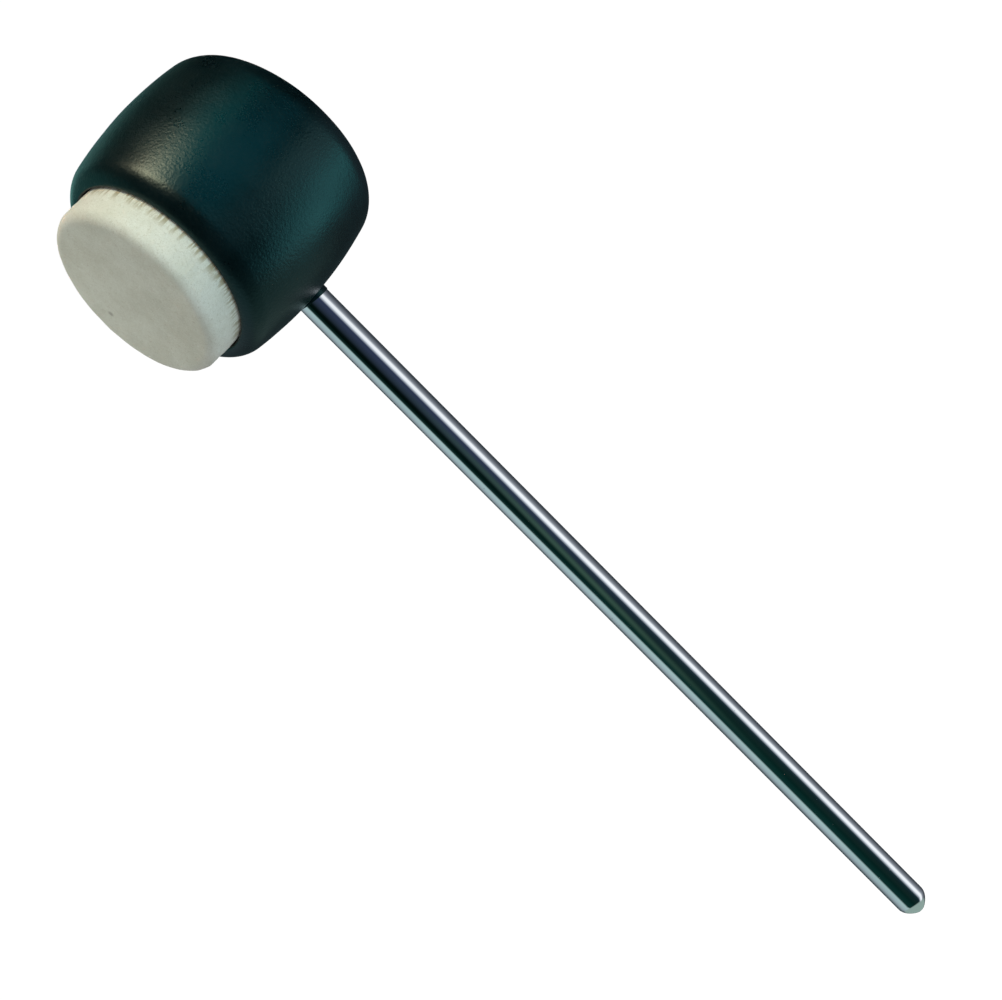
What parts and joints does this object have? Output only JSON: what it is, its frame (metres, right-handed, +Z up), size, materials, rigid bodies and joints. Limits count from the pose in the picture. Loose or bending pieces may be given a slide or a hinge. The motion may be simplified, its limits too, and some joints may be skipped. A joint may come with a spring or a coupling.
{
  "type": "bass drum beater",
  "caption": "Bass drum beater: chromed round shaft with a domed tip, and a barrel-shaped rubber head with a flat felt striking face.",
  "frame": {"origin": "on the shaft's axis, 40 mm above the free tip, where a pedal's clamp grips the shaft", "axes": "+Z up the shaft to the head; -Y is the striking side, where the felt is; X is across the head, and the part is alike on both sides of X = 0"},
  "size_m": [0.062, 0.0624, 0.281],
  "materials": {
    "chromed_steel": "polished chrome plate",
    "black_rubber": "semi-matt moulded rubber with a fine grain",
    "core_plastic": "moulded, glass-filled",
    "plate_plastic": "moulded",
    "plain_steel": "zinc-plated",
    "pressed_felt": "pressed wool felt, off-white, with a fuzzy cut edge"
  },
  "bodies": {
    "root": {"shaft": "chromed_steel", "rubber_shell": "black_rubber", "core": "core_plastic", "flat_washer": "plain_steel", "spring_washer": "plain_steel", "shaft_nut": "plain_steel", "anti_turn_pin": "plain_steel", "backing_plate": "plate_plastic", "backing_plate_screws": "plain_steel", "felt_disc": "pressed_felt"}
  },
  "joints": []
}
